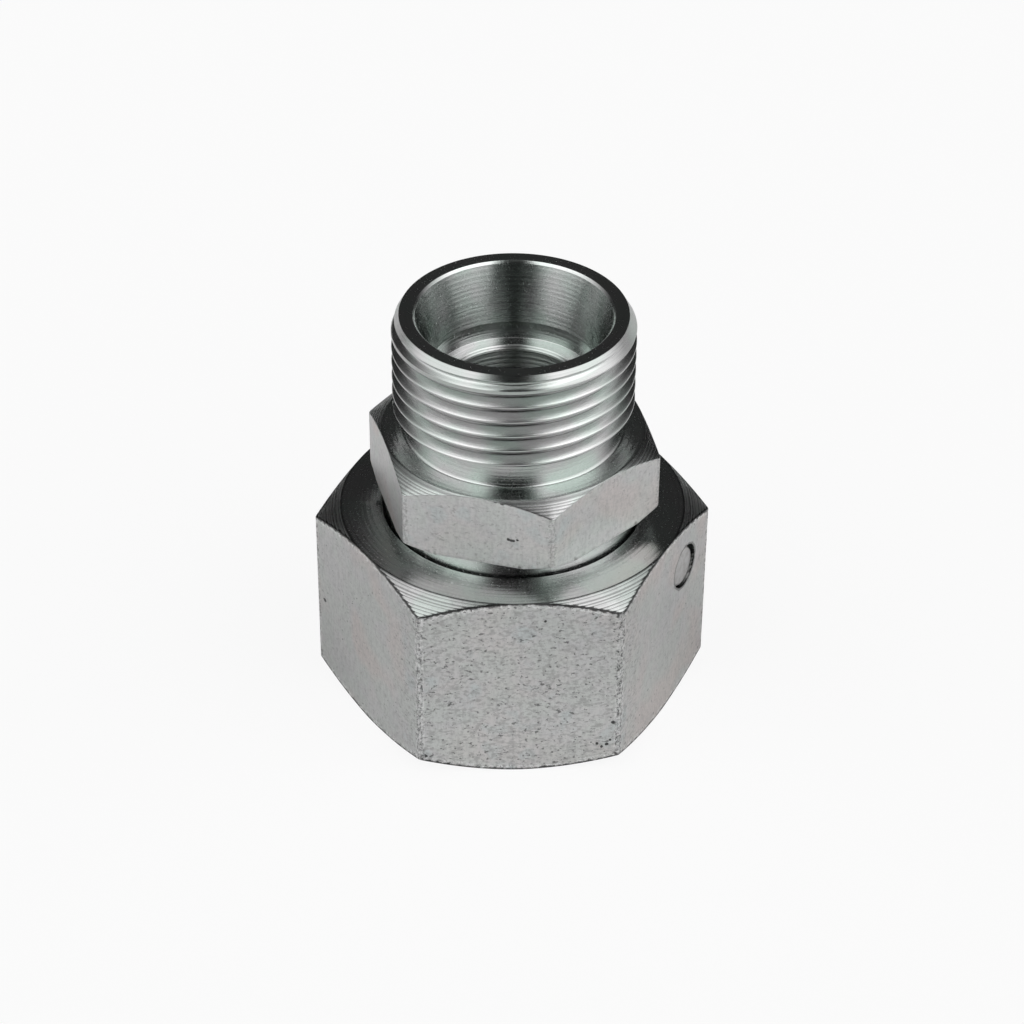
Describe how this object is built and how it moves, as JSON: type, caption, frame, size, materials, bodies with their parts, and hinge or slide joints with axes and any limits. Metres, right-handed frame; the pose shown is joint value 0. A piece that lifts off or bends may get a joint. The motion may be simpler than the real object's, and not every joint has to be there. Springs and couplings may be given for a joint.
{
  "type": "face seal fitting",
  "caption": "Straight steel tube fitting with a threaded tube end, a body hexagon and a captive swivel nut that turns on a retaining wire.",
  "frame": {"origin": "centre of the swivel nut's lower end face, on the fitting's axis, at the lowest point of the part", "axes": "+Z along the fitting's axis from the swivel nut to the threaded tube end; two flats of the body hexagon face +Y and -Y; the nut is turned 17.9 degrees on the body at rest"},
  "size_m": [0.0348, 0.0358, 0.0397],
  "materials": {
    "body_steel": "turned and zinc plated, bright",
    "nut_steel": "zinc plated, satin and finely pitted flats, turned ends",
    "wire_steel": "drawn wire, satin",
    "seal_rubber": "matt moulded rubber"
  },
  "bodies": {
    "fitting": {"body": "body_steel", "seal_ring": "seal_rubber"},
    "swivel": {"swivel_nut": "nut_steel", "retaining_wire": "wire_steel"}
  },
  "joints": [
    {"name": "nut_swivel", "type": "hinge", "parent": "fitting", "child": "swivel", "pos_m": [0, 0, 0.0144], "axis": [0, 0, 1], "continuous": true}
  ]
}
